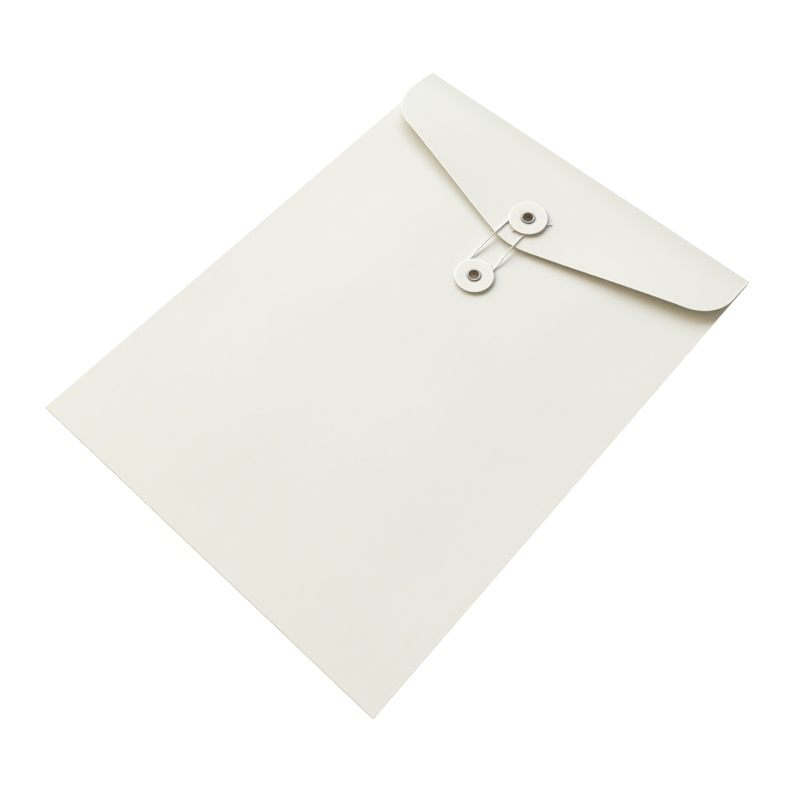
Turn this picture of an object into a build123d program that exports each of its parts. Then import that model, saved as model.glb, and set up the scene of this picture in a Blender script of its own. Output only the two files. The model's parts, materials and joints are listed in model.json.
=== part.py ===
from build123d import *
import math
import os

os.makedirs("parts", exist_ok=True)

# A string tie envelope of heavy card, lying flat with its front panel up and its flap tied shut.
# Millimetres. X is across the envelope, +Y runs from the bottom edge to the flap's fold, +Z is up.
# The origin is the middle of the envelope, on the surface that it lies on.

# ---- the card blank ----
width = 228.6  # 9 in
length = 304.8  # 12 in
card = 0.45
half_width = width / 2
bottom_y = -length / 2
fold_y = length / 2

glue = 0.05
front_z = 2 * card + glue  # underside of the front panel where it is glued to the side tabs
bottom_fold_radius = (front_z + card) / 2  # outside of the bottom fold
bottom_fold_y = bottom_y + bottom_fold_radius

tab_width = 15
tab_start_y = bottom_y + 2
tab_end_y = 137
tab_slant = 9  # how much shorter a tab's free edge is, at each end
side_fold_x = half_width - card

# ---- the front panel: a low crown that swells towards the mouth ----
mouth_y = 139.4
crown_low = 0.5
crown_low_run = 120
crown_mouth = 3.7
swell_start_y = 96
swell_run = 35
crown_flat_x = 45  # the crown is level this far each side of the middle
crown_foot_x = 97
grid_x = 32  # steps of the grid of points that the crowned surface passes through
grid_y = 48

# ---- the flap ----
crease_radius = 1.7  # outside of the flap's fold
hinge_y = fold_y - crease_radius
hinge_z = crease_radius
crease_lip = 0.5  # flat strip that the crease keeps at each side
flap_rise = 13  # degrees that the flap climbs as it leaves its fold
flap_fall = 1.6  # degrees that it drops from its crest to its tip
flap_crest_y = 135.3
flap_crest_z = 5.95
flap_bow_radius = 40
# The flap was folded a little askew, so its two long edges don't slope quite alike.
flap_tip = (-0.1, 81.2)  # where the long edges would meet
flap_right_corner_y = 117.4
flap_left_corner_y = 113.9
flap_tip_radius = 41
flap_corner_radius = 23

# ---- the buttons ----
upper_button = (-0.9, 102.3)
lower_button = (-0.4, 54.7)
disc_radius = 10.9
disc_thickness = 0.7
disc_rim = 0.12
disc_bore_radius = 3.1
disc_gap = 0.9  # room for the string under a disc
barrel_radius = 3.0
hole_radius = 2.65
flange_radius = 4.0
flange_height = 0.55
flange_play = 0.05
clinch_radius = 4.0
clinch_height = 0.5
lip_round = 0.4

# ---- the string ----
string_diameter = 0.8
# From its cut tail, once round the upper barrel, down to the lower barrel, round it, and back up
# to be tucked under the upper disc, beside the first turn, with its free end out at the right.
string_points = [
    (-2.2, 90.9, 5.17),
    (0.4, 95.2, 5.3),
    (3.5, 98.7, 5.39),
    (3.1, 106.5, 5.61),
    (-4.9, 106.7, 5.62),
    (-8.1, 98.7, 5.39),
    (-8.8, 91.2, 5.2),
    (-9.3, 82.2, 5.04),
    (-9.45, 72.0, 3.6),
    (-9.35, 63.1, 2.35),
    (-8.8, 51.1, 2.35),
    (-2.4, 46.7, 2.35),
    (4.4, 49.3, 2.35),
    (5.6, 57.3, 2.35),
    (5.05, 66.9, 2.36),
    (4.5, 74.5, 3.75),
    (4.2, 81.9, 5.04),
    (3.8, 91.4, 5.2),
    (5.2, 97.6, 5.37),
    (6.4, 102.2, 5.5),
    (8.6, 105.6, 5.59),
    (11.4, 107.9, 5.67),
]
arc_share = 0.45  # part of the shorter run that a corner's arc takes up
gap_samples = 900
gap_apart = 8  # stretches nearer to each other than this along the string are one bend


def save(piece, name):
    """Labels a finished piece and writes it under that name."""
    piece.part.label = name
    export_step(piece.part, f"parts/{name}.step")


def ease(share):
    """Goes smoothly from 0 to 1 as share does, and stays level before and after."""
    share = min(max(share, 0), 1)
    return share * share * (3 - 2 * share)


def front_underside(x, y):
    """Height of the front panel's underside."""
    across = 1 - ease((abs(x) - crown_flat_x) / (crown_foot_x - crown_flat_x))
    low = crown_low * ease((y - bottom_fold_y) / crown_low_run)
    swell = (crown_mouth - crown_low) * ease((y - swell_start_y) / swell_run)
    return front_z + across * (low + swell)


def flap_side_points(depth):
    """Corners of the flap's side view, as (y, z), at a depth under its outer face, from root to tip."""
    rise = math.radians(flap_rise)
    fall = math.radians(flap_fall)
    roll = crease_radius - depth
    root = (
        hinge_y + roll * math.sin(rise) - crease_lip * math.cos(rise),
        hinge_z + roll * math.cos(rise) + crease_lip * math.sin(rise),
    )
    bow = flap_bow_radius - depth
    bow_z = flap_crest_z - flap_bow_radius
    bow_start = (flap_crest_y + bow * math.sin(rise), bow_z + bow * math.cos(rise))
    crest = (flap_crest_y, bow_z + bow)
    bow_end = (flap_crest_y - bow * math.sin(fall), bow_z + bow * math.cos(fall))
    past_tip_y = flap_tip[1] - 1
    tip = (past_tip_y, bow_end[1] - (bow_end[0] - past_tip_y) * math.tan(fall))
    return root, bow_start, crest, bow_end, tip


# ---- rear panel: full width only above the side tabs ----
with BuildPart() as rear_panel:
    with BuildSketch() as rear_outline:
        with BuildLine():
            Polyline(
                (-side_fold_x, bottom_fold_y),
                (side_fold_x, bottom_fold_y),
                (side_fold_x, tab_end_y),
                (half_width, tab_end_y),
                (half_width, hinge_y - crease_lip),
                (-half_width, hinge_y - crease_lip),
                (-half_width, tab_end_y),
                (-side_fold_x, tab_end_y),
                close=True,
            )
        make_face()
    extrude(amount=card)
save(rear_panel, "rear_panel")

# ---- bottom fold: joins the rear panel to the front panel ----
with BuildPart() as bottom_fold:
    with BuildSketch(Plane.YZ) as bottom_fold_section:
        with Locations((bottom_fold_y, bottom_fold_radius)):
            Circle(bottom_fold_radius)
            Circle(bottom_fold_radius - card, mode=Mode.SUBTRACT)
        with Locations((bottom_fold_y, 0)):
            Rectangle(
                2 * bottom_fold_radius, 4 * bottom_fold_radius, align=(Align.MIN, Align.CENTER),
                mode=Mode.SUBTRACT,
            )
    extrude(amount=half_width, both=True)
save(bottom_fold, "bottom_fold")

# ---- front panel: a crowned sheet with a hole for the lower eyelet ----
front_rows = []
for row in range(grid_y + 1):
    y = bottom_fold_y + (mouth_y - bottom_fold_y) * row / grid_y
    xs = [half_width * (2 * column / grid_x - 1) for column in range(grid_x + 1)]
    front_rows.append([(x, y, front_underside(x, y)) for x in xs])
front_surface = Face.make_surface_from_array_of_points(front_rows, tol=0.002)

with BuildPart() as front_panel:
    extrude(front_surface, amount=card, dir=(0, 0, 1))
    with BuildSketch() as lower_hole:
        with Locations(lower_button):
            Circle(barrel_radius)
    extrude(amount=2 * front_z + crown_low, mode=Mode.SUBTRACT)
save(front_panel, "front_panel")

# ---- side tabs, turned in from the rear panel, and the folds that carry them ----
for side, name in ((-1, "left"), (1, "right")):
    with BuildPart() as side_tab:
        with BuildSketch(Plane.XY.offset(card)) as tab_outline:
            with BuildLine():
                Polyline(
                    (side * side_fold_x, tab_start_y),
                    (side * side_fold_x, tab_end_y),
                    (side * (side_fold_x - tab_width), tab_end_y - tab_slant),
                    (side * (side_fold_x - tab_width), tab_start_y + tab_slant),
                    close=True,
                )
            make_face()
        extrude(amount=card)
    save(side_tab, f"{name}_side_tab")

    with BuildPart() as side_fold:
        with BuildSketch(Plane.XZ.offset(-tab_start_y)) as side_fold_section:
            with Locations((side * side_fold_x, card)):
                Circle(card)
                Rectangle(
                    2 * card, 4 * card, align=(Align.MAX if side > 0 else Align.MIN, Align.CENTER),
                    mode=Mode.SUBTRACT,
                )
        extrude(amount=tab_start_y - tab_end_y)
    save(side_fold, f"{name}_side_fold")

# ---- flap crease: a rolled strip about the hinge axis, with a flat lip at each end ----
crease_end_angle = 90 - flap_rise
outer_root, inner_root = flap_side_points(0)[0], flap_side_points(card)[0]
with BuildPart() as flap_crease:
    with BuildSketch(Plane.YZ) as crease_section:
        with BuildLine():
            outer = CenterArc((hinge_y, hinge_z), crease_radius, -90, 90 + crease_end_angle)
            Line(outer @ 1, outer_root)
            Line(outer_root, inner_root)
            inner = CenterArc((hinge_y, hinge_z), crease_radius - card, -90, 90 + crease_end_angle)
            Line(inner_root, inner @ 1)
            Polyline(
                inner @ 0,
                (hinge_y - crease_lip, card),
                (hinge_y - crease_lip, 0),
                outer @ 0,
            )
        make_face()
    extrude(amount=half_width, both=True)
save(flap_crease, "flap_crease")

# ---- flap: its side view run across the envelope, cut to its outline ----
outer_side = flap_side_points(0)
inner_side = flap_side_points(card)
upper_seat_z = outer_side[3][1] - (outer_side[3][0] - upper_button[1]) * math.tan(math.radians(flap_fall))
upper_seat = Plane(
    origin=(*upper_button, upper_seat_z),
    x_dir=(1, 0, 0),
    z_dir=(0, -math.sin(math.radians(flap_fall)), math.cos(math.radians(flap_fall))),
)
lower_seat = Plane(
    origin=(*lower_button, front_underside(*lower_button) + card),
    x_dir=(1, 0, 0),
    z_dir=(0, 0, 1),
)
with BuildPart() as flap:
    with BuildSketch(Plane.YZ) as flap_section:
        with BuildLine():
            Line(outer_side[0], outer_side[1])
            ThreePointArc(outer_side[1], outer_side[2], outer_side[3])
            Polyline(outer_side[3], outer_side[4], inner_side[4], inner_side[3])
            ThreePointArc(inner_side[3], inner_side[2], inner_side[1])
            Polyline(inner_side[1], inner_side[0], outer_side[0])
        make_face()
    extrude(amount=half_width, both=True)
    with BuildSketch() as flap_outline:
        with BuildLine():
            FilletPolyline(
                (half_width, fold_y),
                (half_width, flap_right_corner_y),
                flap_tip,
                (-half_width, flap_left_corner_y),
                (-half_width, fold_y),
                radius=[flap_corner_radius, flap_tip_radius, flap_corner_radius],
            )
            Line((-half_width, fold_y), (half_width, fold_y))
        make_face()
    extrude(amount=2 * flap_crest_z, mode=Mode.INTERSECT)
    with BuildSketch(upper_seat.offset(-2 * card)) as upper_hole:
        Circle(barrel_radius)
    extrude(amount=3 * card, mode=Mode.SUBTRACT)
save(flap, "flap")

# ---- buttons: a card disc that turns on an eyelet, over the room for the string ----
for name, seat in (("upper", upper_seat), ("lower", lower_seat)):
    with BuildPart() as disc:
        with BuildSketch(seat.offset(disc_gap)) as disc_outline:
            Circle(disc_radius)
            Circle(disc_bore_radius, mode=Mode.SUBTRACT)
        extrude(amount=disc_thickness)
        chamfer(disc.edges().filter_by(GeomType.CIRCLE).sort_by(SortBy.RADIUS)[-2:], disc_rim)
    save(disc, f"{name}_disc")

    # Half of the eyelet's section, in a plane that holds its axis: rolled flange, barrel, clinch.
    flange_z = disc_gap + disc_thickness + flange_play
    top_z = flange_z + flange_height
    clinch_z = -card
    foot_z = clinch_z - clinch_height
    half_section = Plane(origin=seat.origin, x_dir=seat.x_dir, z_dir=-seat.y_dir)
    with BuildPart() as eyelet:
        with BuildSketch(half_section) as eyelet_section:
            with BuildLine():
                Polyline((hole_radius, foot_z + lip_round), (hole_radius, top_z - lip_round))
                RadiusArc((hole_radius, top_z - lip_round), (hole_radius + lip_round, top_z), lip_round)
                Line((hole_radius + lip_round, top_z), (flange_radius - lip_round, top_z))
                RadiusArc((flange_radius - lip_round, top_z), (flange_radius, top_z - lip_round), lip_round)
                Polyline(
                    (flange_radius, top_z - lip_round),
                    (flange_radius, flange_z),
                    (barrel_radius, flange_z),
                    (barrel_radius, clinch_z),
                    (clinch_radius, clinch_z),
                    (clinch_radius, foot_z + lip_round),
                )
                RadiusArc((clinch_radius, foot_z + lip_round), (clinch_radius - lip_round, foot_z), lip_round)
                Line((clinch_radius - lip_round, foot_z), (hole_radius + lip_round, foot_z))
                RadiusArc((hole_radius + lip_round, foot_z), (hole_radius, foot_z + lip_round), lip_round)
            make_face()
        revolve(axis=Axis(seat.origin, seat.z_dir))
    save(eyelet, f"{name}_eyelet")

# ---- string: one tube along straight runs joined by tangent arcs ----
corners = [Vector(*point) for point in string_points]
runs = [after - before for before, after in zip(corners, corners[1:])]
string_radii = []
for run, next_run in zip(runs, runs[1:]):
    half_turn = math.radians(run.get_angle(next_run) / 2)
    string_radii.append(arc_share * min(run.length, next_run.length) / math.tan(half_turn))
with BuildPart() as string:
    with BuildLine() as string_route:
        FilletPolyline(*string_points, radius=string_radii)
    with BuildSketch(string_route.line ^ 0) as string_section:
        Circle(string_diameter / 2)
    sweep()
save(string, "string")


def least_gap_to_itself(line, samples, apart):
    """Least clear space between stretches of the string that are at least apart from each other along it."""
    spots = [line @ (index / samples) for index in range(samples + 1)]
    skip = math.ceil(apart / line.length * samples)
    least = min(
        (spots[one] - spots[other]).length
        for one in range(len(spots))
        for other in range(one + skip, len(spots))
    )
    return least - string_diameter


string_path = string_route.wires()[0]
string_length = string_path.length
section_area = math.pi * string_diameter**2 / 4
print("string radii:", " ".join(f"{radius:.1f}" for radius in string_radii))
print(f"string length {string_length:.1f}, volume {string.part.volume:.2f},"
      f" section times length {section_area * string_length:.2f}")
print(f"least gap of the string to itself {least_gap_to_itself(string_path, gap_samples, gap_apart):.2f}")
print(f"upper seat z {upper_seat.origin.Z:.3f}, lower seat z {lower_seat.origin.Z:.3f}")
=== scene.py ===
"""Looks of a string tie envelope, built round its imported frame. Metres, +Z up, +Y towards the flap's fold."""
import json
import math

import bmesh
import bpy
from mathutils import Matrix, Vector
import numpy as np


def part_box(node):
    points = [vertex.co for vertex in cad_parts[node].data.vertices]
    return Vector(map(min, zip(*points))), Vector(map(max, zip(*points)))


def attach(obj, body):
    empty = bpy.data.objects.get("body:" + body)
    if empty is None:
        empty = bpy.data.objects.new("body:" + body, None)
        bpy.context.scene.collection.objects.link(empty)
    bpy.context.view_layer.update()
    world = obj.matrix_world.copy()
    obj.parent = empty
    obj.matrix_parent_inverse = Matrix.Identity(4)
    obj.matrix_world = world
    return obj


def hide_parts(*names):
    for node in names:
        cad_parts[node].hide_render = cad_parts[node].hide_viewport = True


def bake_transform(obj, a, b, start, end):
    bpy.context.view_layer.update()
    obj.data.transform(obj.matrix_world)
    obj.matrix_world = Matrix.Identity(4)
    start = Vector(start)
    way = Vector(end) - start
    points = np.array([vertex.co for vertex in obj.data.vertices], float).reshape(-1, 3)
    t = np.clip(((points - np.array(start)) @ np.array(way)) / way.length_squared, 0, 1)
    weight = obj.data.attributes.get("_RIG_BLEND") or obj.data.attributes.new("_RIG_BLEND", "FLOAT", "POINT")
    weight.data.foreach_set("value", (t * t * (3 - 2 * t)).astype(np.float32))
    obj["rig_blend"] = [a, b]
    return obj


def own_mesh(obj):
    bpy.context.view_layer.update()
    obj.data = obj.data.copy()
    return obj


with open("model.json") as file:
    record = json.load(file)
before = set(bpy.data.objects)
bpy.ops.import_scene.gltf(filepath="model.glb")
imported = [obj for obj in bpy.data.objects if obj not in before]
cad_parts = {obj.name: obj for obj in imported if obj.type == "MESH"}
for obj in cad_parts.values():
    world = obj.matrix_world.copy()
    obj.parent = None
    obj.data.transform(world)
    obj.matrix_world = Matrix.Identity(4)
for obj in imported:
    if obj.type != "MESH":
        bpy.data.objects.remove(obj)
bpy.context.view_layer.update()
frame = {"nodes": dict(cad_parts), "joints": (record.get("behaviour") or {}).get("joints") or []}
mm = 0.001


# ---------------------------------------------------------------- sizes, from the frame and from part.py

def joint_record(name):
    """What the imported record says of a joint."""
    return next(joint for joint in frame["joints"] if joint["name"] == name)


def seat_matrix(joint):
    """Where a button stands: x across, y along and z out of the card, from the joint that it turns on."""
    out = Vector(joint["axis"]).normalized()
    across = Vector((1, 0, 0))
    return Matrix.Translation(joint["pos_m"]) @ Matrix((across, out.cross(across), out)).transposed().to_4x4()


half_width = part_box("front_panel")[1].x
front_start_y, mouth_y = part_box("front_panel")[0].y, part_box("front_panel")[1].y
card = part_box("rear_panel")[1].z
glue = 0.05 * mm

# The front panel's crown.
front_z = 2 * card + glue
crown_low, crown_low_run = 0.5 * mm, 120 * mm
crown_mouth, swell_start_y, swell_run = 3.7 * mm, 96 * mm, 35 * mm
crown_flat_x, crown_foot_x = 45 * mm, 97 * mm

# The folds at the bottom edge and at the sides.
bottom_fold_radius = (front_z + card) / 2
side_fold_x, side_fold_radius = half_width - card, card - 0.01 * mm
tab_start_y, tab_end_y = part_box("left_side_tab")[0].y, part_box("left_side_tab")[1].y

# The flap's fold, its side view and its outline.
hinge_y, hinge_z = joint_record("flap_fold")["pos_m"][1:]
crease_radius = hinge_z
crease_lip = 0.5 * mm
flap_rise, flap_fall = math.radians(13), math.radians(1.6)
flap_crest_y, flap_crest_z = 135.3 * mm, 5.95 * mm
flap_bow_radius = 40 * mm
flap_tip = (-0.1 * mm, 81.2 * mm)
flap_right_corner_y, flap_left_corner_y = 117.4 * mm, 113.9 * mm
flap_tip_radius, flap_corner_radius = 41 * mm, 23 * mm

# How the flap's two ends spring up: from the middle out, and from the fold towards the tip.
flap_lift, lift_start_x, lift_run_x = 2.4 * mm, 15 * mm, 85 * mm
lift_start_y, lift_run_y = 150 * mm, 60 * mm

# The buttons.
upper_seat = seat_matrix(joint_record("upper_button_turn"))
lower_seat = seat_matrix(joint_record("lower_button_turn"))
disc_radius = (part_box("lower_disc")[1].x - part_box("lower_disc")[0].x) / 2
disc_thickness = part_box("lower_disc")[1].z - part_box("lower_disc")[0].z
disc_gap = 0.9 * mm
disc_dimple = 0.08 * mm
barrel_radius, hole_radius = 3.0 * mm, 2.65 * mm
flange_radius, flange_height = 4.0 * mm, 0.6 * mm
petal_count = 6

# The string.
string_diameter = 0.8 * mm
string_plies = 3

# The string's route in metres, from its cut tail round both buttons to its free end.
string_points = [
    (-0.0026, 0.0902, 0.00515),
    (0.0004, 0.0952, 0.0053),
    (0.0035, 0.0987, 0.00539),
    (0.0031, 0.1065, 0.00561),
    (-0.0049, 0.1067, 0.00562),
    (-0.0081, 0.0987, 0.00539),
    (-0.0088, 0.0912, 0.0052),
    (-0.0093, 0.0822, 0.00504),
    (-0.00945, 0.072, 0.0036),
    (-0.00935, 0.0631, 0.00235),
    (-0.0088, 0.0511, 0.00235),
    (-0.0024, 0.0467, 0.00235),
    (0.0044, 0.0493, 0.00235),
    (0.0056, 0.0573, 0.00235),
    (0.00505, 0.0669, 0.00236),
    (0.0045, 0.0745, 0.00375),
    (0.0042, 0.0819, 0.00504),
    (0.0038, 0.0914, 0.0052),
    (0.0052, 0.0976, 0.00537),
    (0.0064, 0.1022, 0.0055),
    (0.0086, 0.1056, 0.00559),
    (0.0114, 0.1079, 0.00567),
]

# Tones, as linear colours. A pair is the darkest and the lightest that a material runs between.
card_tones = (0.790, 0.788, 0.722, 1), (0.845, 0.844, 0.786, 1)
# The card's rim colour is a painted highlight along its cut edges; its fold colour is painted shade near the
# flap's fold.
card_rim_highlight, card_fold_shade = (0.95, 0.945, 0.89, 1), (0.92, 0.905, 0.86, 1)
# The card's cut-edge colours are its layered edge darkened by painted shade, for edges that turn away from the
# lamps.
card_edge_shade_tones = (0.48, 0.465, 0.40, 1), (0.66, 0.645, 0.57, 1)
disc_tones = (0.815, 0.805, 0.735, 1), (0.865, 0.857, 0.79, 1)
# The disc's rim colour is a painted highlight round its top rim.
disc_rim_highlight = (0.96, 0.95, 0.90, 1)
# The disc's edge colours are its grey board core darkened by painted shade, for the side that turns away from
# the lamps.
disc_edge_shade_tones = (0.26, 0.23, 0.175, 1), (0.46, 0.42, 0.34, 1)
# The eyelet's darkest colour is painted shade down the sides of its roll.
nickel_tones, nickel_shade_tone = ((0.26, 0.24, 0.195, 1), (0.37, 0.345, 0.285, 1)), (0.10, 0.075, 0.05, 1)
brass_tones = (0.50, 0.375, 0.25, 1), (0.72, 0.56, 0.40, 1)
cotton_tones = (0.87, 0.865, 0.825, 1), (0.96, 0.955, 0.93, 1)
white, table_tone, surround_tone = (1, 1, 1, 1), (0.75, 0.75, 0.75, 1), (0.32, 0.27, 0.19, 1)

# Where the card starts to take painted shade towards the fold, and how much painted highlight shows along the
# cut rims.
fold_shade_start_y = 130 * mm
rim_highlight_share = 0.8


def ease(share):
    """Goes smoothly from 0 to 1 as share does, and stays level before and after."""
    share = min(max(share, 0), 1)
    return share * share * (3 - 2 * share)


def front_top(x, y):
    """Height of the front panel's outer face."""
    across = 1 - ease((abs(x) - crown_flat_x) / (crown_foot_x - crown_flat_x))
    low = crown_low * ease((y - front_start_y) / crown_low_run)
    swell = (crown_mouth - crown_low) * ease((y - swell_start_y) / swell_run)
    return front_z + card + across * (low + swell)


def corner_lift(x, y):
    """How far the flap's two ends spring up off the envelope, away from the string that ties its middle."""
    return flap_lift * ease((abs(x) - lift_start_x) / lift_run_x) * ease((lift_start_y - y) / lift_run_y)


def flap_top(x, y):
    """Height of the flap's outer face."""
    return flap_side_height(y) + corner_lift(x, y)


def flap_side_height(y):
    """The flap's side view at its middle: it rises from its fold, bows and falls to its tip."""
    bow_z = flap_crest_z - flap_bow_radius
    rise_y = flap_crest_y + flap_bow_radius * math.sin(flap_rise)
    fall_y = flap_crest_y - flap_bow_radius * math.sin(flap_fall)
    if y > rise_y:
        return bow_z + flap_bow_radius * math.cos(flap_rise) - (y - rise_y) * math.tan(flap_rise)
    if y < fall_y:
        return bow_z + flap_bow_radius * math.cos(flap_fall) - (fall_y - y) * math.tan(flap_fall)
    return bow_z + math.sqrt(flap_bow_radius**2 - (y - flap_crest_y) ** 2)


# ---------------------------------------------------------------- camera, light and floor

photo_focal_px, photo_side_px = 925, 800
camera_place = (0.1555, -0.1794, 0.4313)
camera_right, camera_forward = (0.7457, 0.6663, -0.0017), (-0.2867, 0.3185, -0.9035)
table_reach, table_glow = 6, 0.8

# Each lamp: its name, place, aim, width and height in metres, colour and watts.
lamps = [
    ("window", (-4.9, 2.83, 4.12), (0, 0, 0), 9.6, 4.0, (0.42, 0.51, 0.665), 1080),
    ("warm_wall", (-4.14, -1.27, 2.5), (0, 0, 0), 4.0, 3.0, (0.24, 0.195, 0.115), 575),
    ("right_fill", (0.35, 0.35, 0.35), (0.08, 0.1, 0), 0.3, 0.3, (1, 1, 1), 0.1),
]


def place_camera():
    """The camera, at the place and lens that the envelope's four corners in the photograph give."""
    camera = bpy.data.objects.new("camera", bpy.data.cameras.new("camera"))
    right, forward = Vector(camera_right).normalized(), Vector(camera_forward)
    forward = (forward - right * forward.dot(right)).normalized()
    turn = Matrix((right, right.cross(forward), -forward)).transposed().to_4x4()
    camera.matrix_world = Matrix.Translation(camera_place) @ turn
    camera.data.sensor_width = 36
    camera.data.lens = camera.data.sensor_width * photo_focal_px / photo_side_px
    camera.data.clip_start, camera.data.clip_end = 0.01, 20
    bpy.context.scene.collection.objects.link(camera)
    bpy.context.scene.camera = camera


def place_lamp(name, place, aim, width, height, colour, watts):
    """A soft rectangular lamp, aimed at a point."""
    lamp = bpy.data.objects.new(name, bpy.data.lights.new(name, "AREA"))
    lamp.data.shape = "RECTANGLE"
    lamp.data.size, lamp.data.size_y = width, height
    lamp.data.color = colour
    lamp.data.energy = watts
    lamp.location = place
    lamp.rotation_euler = (Vector(aim) - Vector(place)).to_track_quat("-Z", "Y").to_euler()
    bpy.context.scene.collection.objects.link(lamp)


# ---------------------------------------------------------------- node helpers

def add(tree, kind, inputs=(), **settings):
    """A node of a kind, with settings on it and a value or a link for each input, by name or number."""
    node = tree.nodes.new(kind)
    for key, value in settings.items():
        setattr(node, key, value)
    for key, value in dict(inputs).items():
        if isinstance(value, bpy.types.NodeSocket):
            tree.links.new(value, node.inputs[key])
        else:
            node.inputs[key].default_value = value
    return node


def maths(tree, operation, *values):
    """The result of a Math node."""
    return add(tree, "ShaderNodeMath", enumerate(values), operation=operation).outputs[0]


def stretched(tree, value, low, high, start=0.0, stop=1.0, kind="LINEAR"):
    """A value that runs from start to stop, stretched to run from low to high."""
    inputs = {0: value, 1: start, 2: stop, 3: low, 4: high}
    return add(tree, "ShaderNodeMapRange", inputs, interpolation_type=kind).outputs[0]


def tinted(tree, share, first, second):
    """A colour between two, by a share from 0 to 1."""
    inputs = {0: share, 6: first, 7: second}
    return add(tree, "ShaderNodeMix", inputs, data_type="RGBA").outputs[2]


def noise(tree, vector, scale, detail=3.0, roughness=0.5):
    """The 0 to 1 value of a Noise Texture."""
    inputs = {"Vector": vector, "Scale": scale, "Detail": detail, "Roughness": roughness}
    return add(tree, "ShaderNodeTexNoise", inputs).outputs[0]


def placed(tree, vector, turn=(0, 0, 0), scale=(1, 1, 1)):
    """Coordinates turned and scaled by a Mapping node."""
    return add(tree, "ShaderNodeMapping", {"Vector": vector, "Rotation": turn, "Scale": scale}).outputs[0]


def attribute(tree, name):
    """A number that the mesh carries."""
    return add(tree, "ShaderNodeAttribute", attribute_name=name).outputs["Fac"]


def stored(tree, geometry, name, value):
    """A geometry whose points carry a number under a name."""
    inputs = {"Geometry": geometry, "Name": name, "Value": value}
    node = add(tree, "GeometryNodeStoreNamedAttribute", inputs, data_type="FLOAT", domain="POINT")
    return node.outputs[0]


def shown(tree):
    """1 for a ray that shows a thing to the camera, straight or by way of metal or glass, and 0 for light."""
    path = add(tree, "ShaderNodeLightPath").outputs
    seen = maths(tree, "MAXIMUM", path["Is Camera Ray"], path["Is Glossy Ray"])
    return maths(tree, "MAXIMUM", seen, path["Is Transmission Ray"])


# ---------------------------------------------------------------- shader node groups

def new_group(kind, name, inputs, outputs):
    """A node group. Its inputs are (name, socket kind, default) and its outputs are (name, socket kind)."""
    tree = bpy.data.node_groups.new(name, kind)
    for label, socket_kind, default in inputs:
        socket = tree.interface.new_socket(label, in_out="INPUT", socket_type=socket_kind)
        if default is not None:
            socket.default_value = default
    for label, socket_kind in outputs:
        tree.interface.new_socket(label, in_out="OUTPUT", socket_type=socket_kind)
    return tree, tree.nodes.new("NodeGroupInput").outputs, tree.nodes.new("NodeGroupOutput").inputs


def paper_fibre_group():
    """Pressed paper. Cloud is a slow change of tone, Fibre the streaks of its fibres, Tooth its height."""
    tree, given, made = new_group(
        "ShaderNodeTree",
        "paper_fibre",
        [
            ("Vector", "NodeSocketVector", None),
            ("Cloud Scale", "NodeSocketFloat", 12.0),
            ("Fibre Scale", "NodeSocketFloat", 700.0),
            ("Tooth Scale", "NodeSocketFloat", 2400.0),
        ],
        [("Cloud", "NodeSocketFloat"), ("Fibre", "NodeSocketFloat"), ("Tooth", "NodeSocketFloat")],
    )
    cloud = noise(tree, given["Vector"], given["Cloud Scale"], detail=4.0)
    fibre = 0.0
    for angle in (20, 80, 140):
        laid = placed(tree, given["Vector"], turn=(0, 0, math.radians(angle)), scale=(1.0, 0.16, 1.0))
        streak = noise(tree, laid, given["Fibre Scale"], detail=2.0)
        fibre = maths(tree, "MAXIMUM", fibre, streak)
    tooth = noise(tree, given["Vector"], given["Tooth Scale"], detail=5.0, roughness=0.65)
    height = maths(tree, "ADD", maths(tree, "MULTIPLY", tooth, 0.6), maths(tree, "MULTIPLY", fibre, 0.4))
    tree.links.new(cloud, made["Cloud"])
    tree.links.new(fibre, made["Fibre"])
    tree.links.new(height, made["Tooth"])
    return tree


def rim_highlight_group():
    """Painted highlight along cut rims: Mask is high where the rim attribute is, broken up by noise."""
    tree, given, made = new_group(
        "ShaderNodeTree",
        "handling_wear",
        [
            ("Vector", "NodeSocketVector", None),
            ("Rim", "NodeSocketFloat", 0.0),
            ("Breakup Scale", "NodeSocketFloat", 300.0),
        ],
        [("Mask", "NodeSocketFloat")],
    )
    broken = noise(tree, given["Vector"], given["Breakup Scale"])
    mask = maths(tree, "MULTIPLY", given["Rim"], stretched(tree, broken, 0.4, 1.5))
    tree.links.new(maths(tree, "MINIMUM", mask, 1.0), made["Mask"])
    return tree


paper_fibre = paper_fibre_group()
handling_wear = rim_highlight_group()


# ---------------------------------------------------------------- materials

def new_material(name):
    """A material, its tree, its Principled BSDF and its object coordinates."""
    material = bpy.data.materials.new(name)
    material.use_nodes = True
    tree = material.node_tree
    return material, tree, tree.nodes["Principled BSDF"], add(tree, "ShaderNodeTexCoord").outputs["Object"]


def set_bump(tree, shader, height, depth, strength):
    """Gives a shader relief of a depth in metres."""
    bump = add(tree, "ShaderNodeBump", {"Height": height, "Distance": depth, "Strength": strength})
    tree.links.new(bump.outputs[0], shader.inputs["Normal"])


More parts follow.
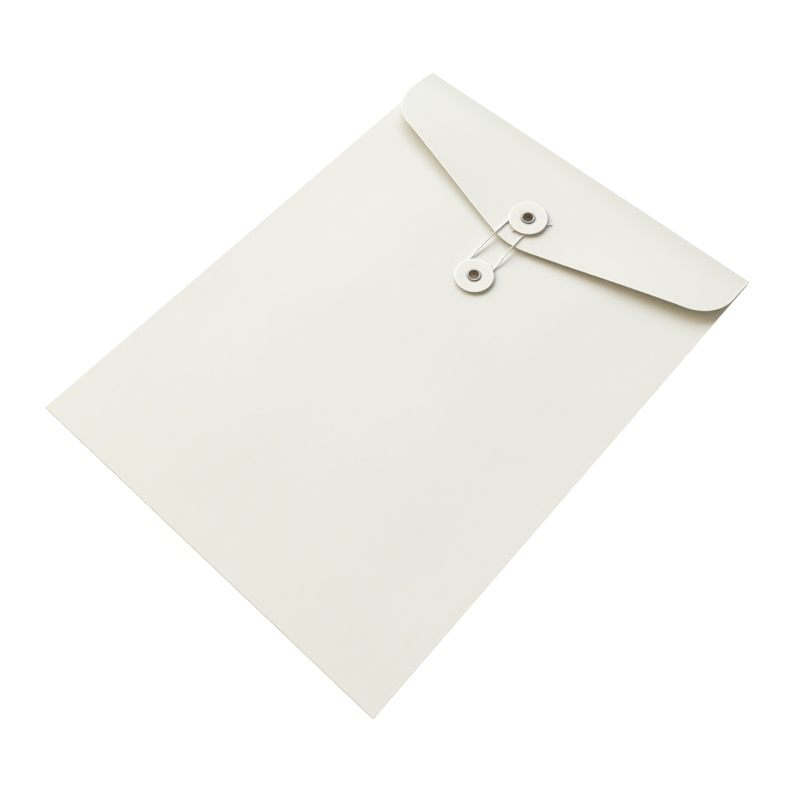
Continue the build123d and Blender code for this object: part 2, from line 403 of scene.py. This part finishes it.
def paper_material(name, tones, rim_highlight_tone, roughness, tooth_depth, fold_shade=None):
    """Smooth uncoated card: slow clouds and fine fibre between two tones, and a painted highlight along its cut
    rims.
    Towards the flap's fold it takes painted shade, if a shade colour is given."""
    material, tree, shader, coordinates = new_material(name)
    fibre = add(tree, "ShaderNodeGroup", node_tree=paper_fibre)
    tree.links.new(coordinates, fibre.inputs["Vector"])
    cloud = maths(tree, "MULTIPLY", fibre.outputs["Cloud"], 0.7)
    tone = maths(tree, "ADD", cloud, maths(tree, "MULTIPLY", fibre.outputs["Fibre"], 0.4))
    # Painted highlight along the cut rims.
    highlight_mask = add(tree, "ShaderNodeGroup", node_tree=handling_wear)
    tree.links.new(coordinates, highlight_mask.inputs["Vector"])
    tree.links.new(attribute(tree, "rim"), highlight_mask.inputs["Rim"])
    rim = maths(tree, "MULTIPLY", highlight_mask.outputs["Mask"], rim_highlight_share)
    colour = tinted(tree, tone, *tones)
    # Painted shade: the card darkens towards the flap's fold, against the extra light on the flap's rise there.
    if fold_shade:
        along = add(tree, "ShaderNodeSeparateXYZ", {0: coordinates}).outputs["Y"]
        near_fold = stretched(tree, along, 0.0, 1.0, start=fold_shade_start_y, stop=hinge_y, kind="SMOOTHSTEP")
        inputs = {0: near_fold, 6: colour, 7: fold_shade}
        colour = add(tree, "ShaderNodeMix", inputs, data_type="RGBA", blend_type="MULTIPLY").outputs[2]
    tree.links.new(tinted(tree, rim, colour, rim_highlight_tone), shader.inputs["Base Color"])
    shine = stretched(tree, fibre.outputs["Fibre"], roughness + 0.06, roughness - 0.06)
    tree.links.new(shine, shader.inputs["Roughness"])
    shader.inputs["Specular IOR Level"].default_value = 0.35
    set_bump(tree, shader, fibre.outputs["Tooth"], tooth_depth, 0.6)
    return material


def cut_edge_material(name, tones, layer_scale):
    """The cut edge of board: thin layers one over the other, with torn fibre between them."""
    material, tree, shader, coordinates = new_material(name)
    layers = noise(tree, placed(tree, coordinates, scale=(0.12, 0.12, 1.0)), layer_scale)
    fibre = add(tree, "ShaderNodeGroup", node_tree=paper_fibre)
    tree.links.new(coordinates, fibre.inputs["Vector"])
    torn = maths(tree, "MULTIPLY", fibre.outputs["Fibre"], 0.3)
    tone = maths(tree, "ADD", maths(tree, "MULTIPLY", layers, 0.7), torn)
    tree.links.new(tinted(tree, tone, *tones), shader.inputs["Base Color"])
    shader.inputs["Roughness"].default_value = 0.9
    set_bump(tree, shader, maths(tree, "ADD", layers, fibre.outputs["Tooth"]), 0.03 * mm, 0.7)
    return material


def nickel_material():
    """Nickel plate on a stamped eyelet: fine scratches, a little tarnish, softened highlights and painted shade
    down its roll's sides.
    """
    material, tree, shader, coordinates = new_material("nickel_plate")
    scratches = noise(tree, placed(tree, coordinates, turn=(0, 0, 0.6), scale=(1.0, 0.08, 1.0)), 9000.0)
    tarnish = noise(tree, coordinates, 700.0, detail=4.0)
    # Painted shade down the sides of the roll.
    roll_shade = attribute(tree, "roll_shade")
    colour = tinted(tree, tarnish, *nickel_tones)
    tree.links.new(tinted(tree, roll_shade, colour, nickel_shade_tone), shader.inputs["Base Color"])
    shader.inputs["Metallic"].default_value = 1.0
    shine = maths(tree, "ADD", stretched(tree, tarnish, 0.28, 0.40), maths(tree, "MULTIPLY", scratches, 0.08))
    shine = maths(tree, "ADD", shine, maths(tree, "MULTIPLY", roll_shade, 0.3))
    tree.links.new(shine, shader.inputs["Roughness"])
    set_bump(tree, shader, scratches, 0.004 * mm, 0.4)
    return material


def bore_material():
    """The barrel's bare brass, gone brown inside the bore."""
    material, tree, shader, coordinates = new_material("brown_brass")
    stain = noise(tree, coordinates, 900.0, detail=4.0)
    tree.links.new(tinted(tree, stain, *brass_tones), shader.inputs["Base Color"])
    shader.inputs["Metallic"].default_value = 0.6
    tree.links.new(stretched(tree, stain, 0.35, 0.6), shader.inputs["Roughness"])
    set_bump(tree, shader, stain, 0.01 * mm, 0.5)
    return material


def string_material():
    """White cotton: the fibres of each ply run with it, with a soft sheen."""
    material, tree, shader, coordinates = new_material("cotton_string")
    inputs = {0: attribute(tree, "run"), 1: attribute(tree, "turn")}
    strand = add(tree, "ShaderNodeCombineXYZ", inputs).outputs[0]
    fibre = noise(tree, placed(tree, strand, scale=(700.0, 9.0, 1.0)), 1.0)
    slub = noise(tree, coordinates, 300.0)
    tone = maths(tree, "ADD", maths(tree, "MULTIPLY", fibre, 0.6), maths(tree, "MULTIPLY", slub, 0.4))
    tree.links.new(tinted(tree, tone, *cotton_tones), shader.inputs["Base Color"])
    shader.inputs["Roughness"].default_value = 0.85
    shader.inputs["Sheen Weight"].default_value = 0.3
    shader.inputs["Subsurface Weight"].default_value = 0.8
    shader.inputs["Subsurface Radius"].default_value = (1.0, 0.95, 0.85)
    shader.inputs["Subsurface Scale"].default_value = string_diameter
    set_bump(tree, shader, fibre, 0.03 * mm, 0.8)
    return material


def table_material():
    """A white table, which shows white to the camera and in the metal, and keeps the object's shadow."""
    material, tree, shader, _ = new_material("white_table")
    seen = shown(tree)
    tree.links.new(tinted(tree, seen, table_tone, white), shader.inputs["Base Color"])
    tree.links.new(maths(tree, "MULTIPLY", seen, table_glow), shader.inputs["Emission Strength"])
    shader.inputs["Emission Color"].default_value = white
    shader.inputs["Roughness"].default_value = 1.0
    shader.inputs["Specular IOR Level"].default_value = 0.0
    return material


def light_world():
    """An even surround: full white where it is seen, and a softer tone where it lights."""
    world = bpy.data.worlds.new("white_surround")
    world.use_nodes = True
    tree = world.node_tree
    tree.links.new(tinted(tree, shown(tree), surround_tone, white), tree.nodes["Background"].inputs["Color"])
    bpy.context.scene.world = world


# ---------------------------------------------------------------- mesh helpers

def new_piece(name, mesh, *materials):
    """An object at the origin, linked to the scene, with its materials."""
    piece = bpy.data.objects.new(name, mesh)
    bpy.context.scene.collection.objects.link(piece)
    for material in materials:
        mesh.materials.append(material)
    return piece


def bake(piece):
    """Turns a piece's modifiers into its mesh."""
    bpy.context.view_layer.update()
    evaluated = piece.evaluated_get(bpy.context.evaluated_depsgraph_get())
    mesh = bpy.data.meshes.new_from_object(evaluated)
    piece.modifiers.clear()
    piece.data = mesh
    return piece


def shade_smooth(piece, sharp_angle):
    """Smooths a piece's shading, but for edges that turn by more than an angle in degrees."""
    piece.data.shade_smooth()
    piece.data.set_sharp_from_angle(angle=math.radians(sharp_angle))


def finished(piece, body, slot, *replaced):
    """Rides a finished piece on its body and hides the nodes that it stands for. Its slot argument is not used.
    """
    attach(piece, body)
    if replaced:
        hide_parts(*replaced)


# ---------------------------------------------------------------- sheets of card

rim_depths = (0, 0.5 * mm, 1.3 * mm)
grid_step, corner_steps = 2.5 * mm, 28
slope_step = 0.01 * mm
cut_tolerance, side_tolerance = 1e-7, 1e-6
front_edge_round, flap_edge_round = 0.2 * mm, 0.07 * mm
punch_length, punch_sides = 4 * mm, 64


def flat_sheet(outline):
    """A flat sheet cut into squares. outline(depth) gives the cut edge at a depth inside the real one, as
    points that start and end on the sheet's uncut side. The rim attribute is 1 at the cut edge and 0 further
    in."""
    flat = bmesh.new()
    rim = flat.verts.layers.float.new("rim")
    rings = []
    for depth in rim_depths:
        ring = [flat.verts.new((x, y, 0)) for x, y in outline(depth)]
        for vert in ring:
            vert[rim] = 1 - depth / rim_depths[-1]
        rings.append(ring)
    for outer, inner in zip(rings, rings[1:]):
        for here in range(len(outer) - 1):
            flat.faces.new((outer[here], outer[here + 1], inner[here + 1], inner[here]))
    flat.faces.new(rings[-1])
    for axis in (0, 1):
        places = [vert.co[axis] for vert in rings[0]]
        low, high = min(places), max(places)
        cuts = round((high - low) / grid_step)
        direction = Vector((1 - axis, axis, 0))
        for cut in range(1, cuts):
            everything = flat.verts[:] + flat.edges[:] + flat.faces[:]
            place = direction * (low + (high - low) * cut / cuts)
            bmesh.ops.bisect_plane(flat, geom=everything, dist=cut_tolerance, plane_co=place,
                                   plane_no=direction)
    return flat


def card_sheet(name, outline, uncut_y, height, edge_round, highlit_rim):
    """A sheet of card laid so that height(x, y) is its outer face, with cut edges but for the side at
    uncut_y. Its edges are rounded by edge_round, and its last argument is 1 if they take a painted highlight, 0
    if not."""
    flat = flat_sheet(outline)
    flat.normal_update()
    rim = flat.verts.layers.float["rim"]
    solid = bmesh.new()
    solid_rim = solid.verts.layers.float.new("rim")
    outer, inner = {}, {}
    for vert in flat.verts:
        x, y, _ = vert.co
        z = height(x, y)
        fall_x, fall_y = z - height(x + slope_step, y), z - height(x, y + slope_step)
        out = Vector((fall_x, fall_y, slope_step)).normalized()
        for side, place in ((outer, Vector((x, y, z))), (inner, Vector((x, y, z)) - out * card)):
            side[vert] = solid.verts.new(place)
            side[vert][solid_rim] = vert[rim] * highlit_rim
    for face in flat.faces:
        corners = list(face.verts) if face.normal.z > 0 else list(reversed(face.verts))
        solid.faces.new([outer[vert] for vert in corners])
        solid.faces.new([inner[vert] for vert in reversed(corners)])
    rounded = []
    for edge in flat.edges:
        if not edge.is_boundary:
            continue
        loop = edge.link_loops[0]
        first, second = loop.vert, loop.link_loop_next.vert
        if loop.face.normal.z < 0:
            first, second = second, first
        wall = solid.faces.new((outer[second], outer[first], inner[first], inner[second]))
        wall.material_index = 1
        if max(abs(first.co.y - uncut_y), abs(second.co.y - uncut_y)) > side_tolerance:
            for side in (outer, inner):
                rounded.append(solid.edges.get((side[first], side[second])))
    bmesh.ops.bevel(solid, geom=rounded, offset=edge_round, segments=2, profile=0.5, affect="EDGES",
                    clamp_overlap=True)
    mesh = bpy.data.meshes.new(name)
    solid.to_mesh(mesh)
    solid.free()
    flat.free()
    return new_piece(name, mesh, card_paper, card_edge)


def bore_through(piece, seat, radius):
    """Cuts a round hole through a piece, square to a button's seat."""
    cutter_mesh = bpy.data.meshes.new("punch")
    punch = bmesh.new()
    bmesh.ops.create_cone(punch, cap_ends=True, segments=punch_sides, radius1=radius, radius2=radius,
                          depth=punch_length, matrix=seat)
    for face in punch.faces:
        face.material_index = 1
    punch.to_mesh(cutter_mesh)
    punch.free()
    cutter = new_piece("punch", cutter_mesh, card_paper, card_edge)
    hole = piece.modifiers.new("hole", "BOOLEAN")
    hole.operation, hole.solver, hole.object = "DIFFERENCE", "EXACT", cutter
    bake(piece)
    bpy.data.objects.remove(cutter)


def arc_points(centre, radius, start, turn, count):
    """Points along an arc, its angles in radians, both ends included."""
    angles = [start + turn * step / count for step in range(count + 1)]
    return [(centre[0] + radius * math.cos(angle), centre[1] + radius * math.sin(angle)) for angle in angles]


def front_outline(depth):
    """The front panel's cut edge: up its right side, across the mouth and down its left side."""
    x, y = half_width - depth, mouth_y - depth
    return [(x, front_start_y), (x, y), (-x, y), (-x, front_start_y)]


def rounded_corner(before, corner, after, radius):
    """Points of an arc that rounds a corner between two straight edges."""
    corner = Vector(corner)
    back = (Vector(before) - corner).normalized()
    ahead = (Vector(after) - corner).normalized()
    half = back.angle(ahead) / 2
    centre = corner + (back + ahead).normalized() * radius / math.sin(half)
    first = corner + back * radius / math.tan(half) - centre
    last = corner + ahead * radius / math.tan(half) - centre
    start = math.atan2(first.y, first.x)
    turn = math.remainder(math.atan2(last.y, last.x) - start, 2 * math.pi)
    return arc_points(centre, radius, start, turn, corner_steps)


def flap_outline(depth):
    """The flap's cut edge, from the right end of its fold round its corners and tip to the left end."""
    corners = [
        Vector((half_width, flap_root_y)),
        Vector((half_width, flap_right_corner_y)),
        Vector(flap_tip),
        Vector((-half_width, flap_left_corner_y)),
        Vector((-half_width, flap_root_y)),
    ]
    edges = [(after - before).normalized() for before, after in zip(corners, corners[1:])]
    inward = [Vector((edge.y, -edge.x)) for edge in edges]
    moved = []
    for index in range(1, 4):
        one, other = inward[index - 1], inward[index]
        moved.append(corners[index] + (one + other) * depth / (1 + one.dot(other)))
    start = Vector((half_width - depth, flap_root_y))
    end = Vector((-half_width + depth, flap_root_y))
    route = [start, *moved, end]
    points = [tuple(start)]
    radii = (flap_corner_radius, flap_tip_radius, flap_corner_radius)
    for index, radius in enumerate(radii, 1):
        points += rounded_corner(*route[index - 1:index + 2], radius - depth)
    return points + [tuple(end)]


flap_root_y = hinge_y + crease_radius * math.sin(flap_rise) - crease_lip * math.cos(flap_rise)


# ---------------------------------------------------------------- folds

fold_steps, fold_stations = 20, 40


def folded_strip(name, section, along, start, stop):
    """A fold: a closed section run along x or y. The section's points are (other axis, z)."""
    fold = bmesh.new()
    rows = []
    for station in range(fold_stations + 1):
        place = start + (stop - start) * station / fold_stations
        row = [(place, other, z) if along == "x" else (other, place, z) for other, z in section]
        rows.append([fold.verts.new(point) for point in row])
    for row, after in zip(rows, rows[1:]):
        for here in range(len(section)):
            there = (here + 1) % len(section)
            fold.faces.new((row[here], row[there], after[there], after[here]))
    for row in (rows[0], rows[-1]):
        fold.faces.new(row).material_index = 1
    bmesh.ops.recalc_face_normals(fold, faces=fold.faces)
    mesh = bpy.data.meshes.new(name)
    fold.to_mesh(mesh)
    fold.free()
    piece = new_piece(name, mesh, card_paper, card_edge)
    shade_smooth(piece, 40)
    return piece


def half_round(centre, radius, start_angle, turn, before=(), after=()):
    """The section of a fold: its outside, then its inside the other way round, with flat lips if given."""
    outside = arc_points(centre, radius, start_angle, turn, fold_steps)
    inside = arc_points(centre, radius - card, start_angle, turn, fold_steps)
    return [*before[:1], *outside, *after, *reversed(inside), *before[1:]]


def make_flap_crease():
    """The rolled fold between the rear panel and the flap, which unrolls as the flap opens."""
    rise = Vector((math.sin(flap_rise), math.cos(flap_rise)))
    back = Vector((-rise.y, rise.x)) * crease_lip
    outer_root = Vector((hinge_y, hinge_z)) + rise * crease_radius + back
    inner_root = Vector((hinge_y, hinge_z)) + rise * (crease_radius - card) + back
    section = half_round(
        (hinge_y, hinge_z), crease_radius, -math.pi / 2, math.pi - flap_rise,
        before=((hinge_y - crease_lip, 0), (hinge_y - crease_lip, card)),
        after=(tuple(outer_root), tuple(inner_root)),
    )
    crease = folded_strip("flap_fold_roll", section, "x", -half_width, half_width)
    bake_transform(crease, "pocket", "flap", start=(0, hinge_y, card), end=(0, hinge_y, inner_root.y))
    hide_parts("flap_crease")


def make_bottom_fold():
    """The fold along the bottom edge, between the rear panel and the front panel."""
    section = half_round((front_start_y, bottom_fold_radius), bottom_fold_radius, -math.pi / 2, -math.pi)
    fold = folded_strip("bottom_fold_roll", section, "x", -half_width, half_width)
    finished(fold, "pocket", "card", "bottom_fold")


def make_side_fold(name, side):
    """A tight fold that turns a glue tab in from the rear panel."""
    section = half_round((side * side_fold_x, card), side_fold_radius, -math.pi / 2, side * math.pi)
    fold = folded_strip(f"{name}_side_fold_roll", section, "y", tab_start_y, tab_end_y)
    finished(fold, "pocket", "card", f"{name}_side_fold")


# ---------------------------------------------------------------- buttons

disc_sides, eyelet_sides = 128, 72


def lathe(name, profile, seat, segments, layer, *materials):
    """Turns a closed profile about a seat's axis. Its points are (radius, height, the layer's value, the
    number of the material)."""
    turned = bmesh.new()
    values = turned.verts.layers.float.new(layer)
    rings = []
    for segment in range(segments):
        angle = 2 * math.pi * segment / segments
        ring = []
        for radius, height, value, _ in profile:
            place = Vector((radius * math.cos(angle), radius * math.sin(angle), height))
            vert = turned.verts.new(seat @ place)
            vert[values] = value
            ring.append(vert)
        rings.append(ring)
    for ring, after in zip(rings, rings[1:] + rings[:1]):
        for here in range(len(profile)):
            there = (here + 1) % len(profile)
            face = turned.faces.new((ring[here], after[here], after[there], ring[there]))
            face.material_index = profile[here][3]
    bmesh.ops.recalc_face_normals(turned, faces=turned.faces)
    mesh = bpy.data.meshes.new(name)
    turned.to_mesh(mesh)
    turned.free()
    return new_piece(name, mesh, *materials)


def make_disc(name, seat):
    """A die-cut board button, dimpled a little round its eyelet, its three plies showing at its edge, and a
    painted highlight round its top rim.
    """
    top = disc_gap + disc_thickness
    edge, edge_steps, foot = 0.12 * mm, 4, 0.1 * mm
    seam_half_width, seam_depth = 0.04 * mm, 0.06 * mm
    bore = barrel_radius + 0.1 * mm
    slope, level = flange_radius + 0.5 * mm, flange_radius + 1.0 * mm
    rim_start, rim_middle = disc_radius - 1.4 * mm, disc_radius - 0.6 * mm
    # The third value of each point is the share of painted highlight at the disc's top rim.
    profile = [
        (bore, disc_gap, 0, 0),
        (bore, top - disc_dimple, 0, 0),
        (flange_radius, top - disc_dimple, 0, 0),
        (slope, top - 0.25 * disc_dimple, 0, 0),
        (level, top, 0, 0),
        (rim_start, top, 0, 0),
        (rim_middle, top, 0.5, 0),
    ]
    for step in range(edge_steps + 1):
        angle = math.pi / 2 * (1 - step / edge_steps)
        radius = disc_radius - edge + edge * math.cos(angle)
        face = 0 if step <= edge_steps / 2 else 1
        profile.append((radius, top - edge + edge * math.sin(angle), 1, face))
    for ply in (2, 1):
        seam = disc_gap + disc_thickness * ply / 3
        for height, depth in ((seam_half_width, 0), (0, seam_depth), (-seam_half_width, 0)):
            profile.append((disc_radius - depth, seam + height, 0, 1))
    profile.append((disc_radius, disc_gap + foot, 0, 1))
    profile.append((disc_radius - foot, disc_gap, 0, 0))
    disc = lathe(f"{name}_disc_board", profile, seat, disc_sides, "rim", disc_paper, disc_edge)
    shade_smooth(disc, 38)
    finished(disc, f"{name}_button", "disc", f"{name}_disc")


def clinch_petals_group():
    """Sets petals in a ring, which are the parts that a barrel's end splits into when it is clinched."""
    tree, given, made = new_group(
        "GeometryNodeTree",
        "clinch_petals",
        [
            ("Geometry", "NodeSocketGeometry", None),
            ("Count", "NodeSocketInt", petal_count),
            ("Material", "NodeSocketMaterial", None),
        ],
        [("Geometry", "NodeSocketGeometry")],
    )
    places = add(tree, "GeometryNodePoints", {"Count": given["Count"]}).outputs[0]
    index = add(tree, "GeometryNodeInputIndex").outputs[0]
    angle = maths(tree, "MULTIPLY", maths(tree, "DIVIDE", index, given["Count"]), 2 * math.pi)
    euler = add(tree, "ShaderNodeCombineXYZ", {2: angle}).outputs[0]
    turn = add(tree, "FunctionNodeEulerToRotation", {0: euler}).outputs[0]
    inputs = {"Points": places, "Instance": given["Geometry"], "Rotation": turn}
    petals = add(tree, "GeometryNodeInstanceOnPoints", inputs).outputs[0]
    joined = add(tree, "GeometryNodeRealizeInstances", {0: petals}).outputs[0]
    finish = add(tree, "GeometryNodeSetMaterial", {"Geometry": joined, "Material": given["Material"]})
    tree.links.new(finish.outputs[0], made["Geometry"])
    return tree


def use_nodes(piece, tree, **inputs):
    """Puts a Geometry Nodes tree on a piece, sets its named inputs and makes the result the piece's mesh."""
    modifier = piece.modifiers.new(tree.name, "NODES")
    modifier.node_group = tree
    for item in tree.interface.items_tree:
        key = item.name.lower().replace(" ", "_")
        if key in inputs:
            modifier[item.identifier] = inputs[key]
    bake(piece)


def make_petal(name):
    """One petal of a clinch, about the button's axis: the barrel's end, curled out against the card."""
    petal = bmesh.new()
    steps_out, steps_round = 10, 6
    split_angle = math.pi / petal_count
    curl, metal, edge = 0.42 * mm, 0.28 * mm, 0.06 * mm
    whole_bend, flatness = math.pi * 0.9, 0.75
    root_width, narrowing, tip_rounding = 0.94, 0.16, 0.75
    rows = []
    for out in range(steps_out + 1):
        share = out / steps_out
        bend = whole_bend * share
        radius = barrel_radius - metal / 2 + curl * (1 - math.cos(bend))
        height = -card - curl * flatness * math.sin(bend)
        rounding = math.sqrt(1 - tip_rounding * max(0, 2 * share - 1) ** 2)
        width = split_angle * (root_width - narrowing * share) * rounding
        row = []
        for step in range(steps_round + 1):
            angle = width * (2 * step / steps_round - 1)
            row.append(petal.verts.new((radius * math.cos(angle), radius * math.sin(angle), height)))
        rows.append(row)
    for row, after in zip(rows, rows[1:]):
        for here in range(steps_round):
            petal.faces.new((row[here], row[here + 1], after[here + 1], after[here]))
    mesh = bpy.data.meshes.new(name)
    petal.to_mesh(mesh)
    petal.free()
    piece = new_piece(name, mesh, nickel)
    shell = piece.modifiers.new("metal", "SOLIDIFY")
    shell.thickness, shell.offset, shell.use_even_offset = metal, 0, True
    soft = piece.modifiers.new("soft", "BEVEL")
    soft.width, soft.segments, soft.limit_method = edge, 2, "ANGLE"
    return bake(piece)


def make_eyelet(name, body, seat):
    """A nickel eyelet: a rolled flange on the disc, a barrel through disc and card, and a clinch of petals.
    The flange rolls over in a half circle and a little on, into the disc's dimple. Painted shade darkens both
    sides of the roll, away from its top, and runs into its bore."""
    top = disc_gap + disc_thickness
    middle = (hole_radius + flange_radius) / 2
    half_roll = (flange_radius - hole_radius) / 2
    roll_rise, lip_depth = 0.06 * mm, 0.3 * mm
    half_steps, steps_past = 16, 2
    # The roll keeps its plate colour near its top, and painted shade comes in over the next angle.
    lit_degrees, shade_degrees = 16, 34
    roll_foot = top + roll_rise
    profile = [(hole_radius, -card, 0, 1), (hole_radius, roll_foot - lip_depth, 0.8, 0)]
    for step in range(half_steps + steps_past + 1):
        angle = math.pi * (1 - step / half_steps)
        # Painted shade, growing away from the roll's top.
        roll_shade = ease((abs(math.degrees(angle) - 90) - lit_degrees) / shade_degrees)
        height = roll_foot + (flange_height - roll_rise) * math.sin(angle)
        profile.append((middle + half_roll * math.cos(angle), max(height, top - disc_dimple), roll_shade, 0))
    profile.append((barrel_radius, top - disc_dimple, 1, 0))
    profile.append((barrel_radius, -card, 0, 0))
    eyelet = lathe(f"{name}_eyelet_barrel", profile, seat, eyelet_sides, "roll_shade", nickel, brown_brass)
    shade_smooth(eyelet, 45)
    finished(eyelet, body, "eyelet", f"{name}_eyelet")
    clinch = make_petal(f"{name}_eyelet_clinch")
    use_nodes(clinch, clinch_petals, count=petal_count, material=nickel)
    clinch.data.transform(seat)
    shade_smooth(clinch, 50)
    finished(clinch, body, "eyelet")


# ---------------------------------------------------------------- string

route_resolution, route_order = 24, 3


def string_route():
    """The points that the string follows, read from one smooth curve through its route."""
    curve = bpy.data.curves.new("string_route", "CURVE")
    curve.dimensions = "3D"
    curve.resolution_u = route_resolution
    spline = curve.splines.new("NURBS")
    spline.points.add(len(string_points) - 1)
    for point, place in zip(spline.points, string_points):
        point.co = (*place, 1)
    spline.order_u = route_order
    spline.use_endpoint_u = True
    route = new_piece("string_route", curve)
    bpy.context.view_layer.update()
    mesh = bpy.data.meshes.new_from_object(route.evaluated_get(bpy.context.evaluated_depsgraph_get()))
    bpy.data.objects.remove(route)
    return mesh


def twisted_plies_group(plies):
    """Lays plies round a route as a twisted string. Near its cut ends they come apart by Fray."""
    tree, given, made = new_group(
        "GeometryNodeTree",
        "twisted_plies",
        [
            ("Geometry", "NodeSocketGeometry", None),
            ("Ply Radius", "NodeSocketFloat", 0.225 * mm),
            ("Lay Radius", "NodeSocketFloat", 0.19 * mm),
            ("Pitch", "NodeSocketFloat", 3 * mm),
            ("Step", "NodeSocketFloat", 0.15 * mm),
            ("Fray", "NodeSocketFloat", 0.6),
            ("Fray Length", "NodeSocketFloat", 1.2 * mm),
            ("Material", "NodeSocketMaterial", None),
        ],
        [("Geometry", "NodeSocketGeometry")],
    )
    curve = add(tree, "GeometryNodeMeshToCurve", {"Mesh": given["Geometry"]}).outputs[0]
    curve = add(tree, "GeometryNodeResampleCurve", {"Curve": curve, "Length": given["Step"]}, mode="LENGTH")
    run = add(tree, "GeometryNodeSplineParameter").outputs["Length"]
    curve = stored(tree, curve.outputs[0], "run", run)
    whole = add(tree, "GeometryNodeSplineLength").outputs["Length"]
    from_end = maths(tree, "MINIMUM", run, maths(tree, "SUBTRACT", whole, run))
    loose = stretched(tree, from_end, given["Fray"], 0.0, stop=given["Fray Length"], kind="SMOOTHSTEP")
    lay = maths(tree, "MULTIPLY", given["Lay Radius"], maths(tree, "ADD", loose, 1.0))
    twist = maths(tree, "MULTIPLY", maths(tree, "DIVIDE", run, given["Pitch"]), 2 * math.pi)
    normal = add(tree, "GeometryNodeInputNormal").outputs[0]
    tangent = add(tree, "GeometryNodeInputTangent").outputs[0]
    side = add(tree, "ShaderNodeVectorMath", {0: tangent, 1: normal}, operation="CROSS_PRODUCT").outputs[0]
    section = add(tree, "GeometryNodeCurvePrimitiveCircle", {"Resolution": 8, "Radius": given["Ply Radius"]})
    turn = add(tree, "GeometryNodeSplineParameter").outputs["Factor"]
    section = stored(tree, section.outputs[0], "turn", turn)
    joined = add(tree, "GeometryNodeJoinGeometry")
    for ply in range(plies):
        angle = maths(tree, "ADD", twist, 2 * math.pi * ply / plies)
        parts = []
        for direction, operation in ((normal, "COSINE"), (side, "SINE")):
            amount = maths(tree, "MULTIPLY", lay, maths(tree, operation, angle))
            inputs = {0: direction, "Scale": amount}
            parts.append(add(tree, "ShaderNodeVectorMath", inputs, operation="SCALE").outputs[0])
        offset = add(tree, "ShaderNodeVectorMath", enumerate(parts), operation="ADD").outputs[0]
        laid = add(tree, "GeometryNodeSetPosition", {"Geometry": curve, "Offset": offset}).outputs[0]
        inputs = {"Curve": laid, "Profile Curve": section, "Fill Caps": True}
        tube = add(tree, "GeometryNodeCurveToMesh", inputs).outputs[0]
        tree.links.new(tube, joined.inputs[0])
    smooth = add(tree, "GeometryNodeSetShadeSmooth", {0: joined.outputs[0]}).outputs[0]
    whole_string = add(tree, "GeometryNodeRealizeInstances", {0: smooth}).outputs[0]
    finish = add(tree, "GeometryNodeSetMaterial", {"Geometry": whole_string, "Material": given["Material"]})
    tree.links.new(finish.outputs[0], made["Geometry"])
    return tree


def make_string():
    """The tied string: twisted plies along its route, riding on the flap."""
    route = string_route()
    string = new_piece("tie_string", route, cotton)
    use_nodes(string, twisted_plies_group(string_plies), material=cotton)
    finished(string, "flap", "string", "string")
    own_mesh(string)


# ---------------------------------------------------------------- the scene

card_paper = paper_material("cream_card", card_tones, card_rim_highlight, roughness=0.68, tooth_depth=0.012 * mm,
                            fold_shade=card_fold_shade)
card_edge = cut_edge_material("card_cut_edge", card_edge_shade_tones, layer_scale=16000)
disc_paper = paper_material("white_disc_board", disc_tones, disc_rim_highlight, roughness=0.55,
                            tooth_depth=0.008 * mm)
disc_edge = cut_edge_material("disc_cut_edge", disc_edge_shade_tones, layer_scale=9000)
nickel = nickel_material()
brown_brass = bore_material()
cotton = string_material()
clinch_petals = clinch_petals_group()

place_camera()
light_world()
for lamp in lamps:
    place_lamp(*lamp)

table = new_piece("table", bpy.data.meshes.new("table"), table_material())
table_corners = [(x * table_reach, y * table_reach, 0) for x, y in ((-1, -1), (1, -1), (1, 1), (-1, 1))]
table.data.from_pydata(table_corners, [], [(0, 1, 2, 3)])

make_string()

for name in ("rear_panel", "left_side_tab", "right_side_tab"):
    node = frame["nodes"][name]
    node.data.materials.clear()
    node.data.materials.append(card_paper)

front = card_sheet("front_panel_sheet", front_outline, front_start_y, front_top, front_edge_round, highlit_rim=0)
bore_through(front, lower_seat, barrel_radius)
shade_smooth(front, 30)
finished(front, "pocket", "card", "front_panel")

# The flap's cut edges take a painted highlight.
flap = card_sheet("flap_sheet", flap_outline, flap_root_y, flap_top, flap_edge_round, highlit_rim=1)
bore_through(flap, upper_seat, barrel_radius)
shade_smooth(flap, 30)
finished(flap, "flap", "card", "flap")

make_flap_crease()
make_bottom_fold()
for name, side in (("left", -1), ("right", 1)):
    make_side_fold(name, side)

for name, body, seat in (("upper", "flap", upper_seat), ("lower", "pocket", lower_seat)):
    make_disc(name, seat)
    make_eyelet(name, body, seat)

bpy.context.scene.view_settings.view_transform = "Standard"
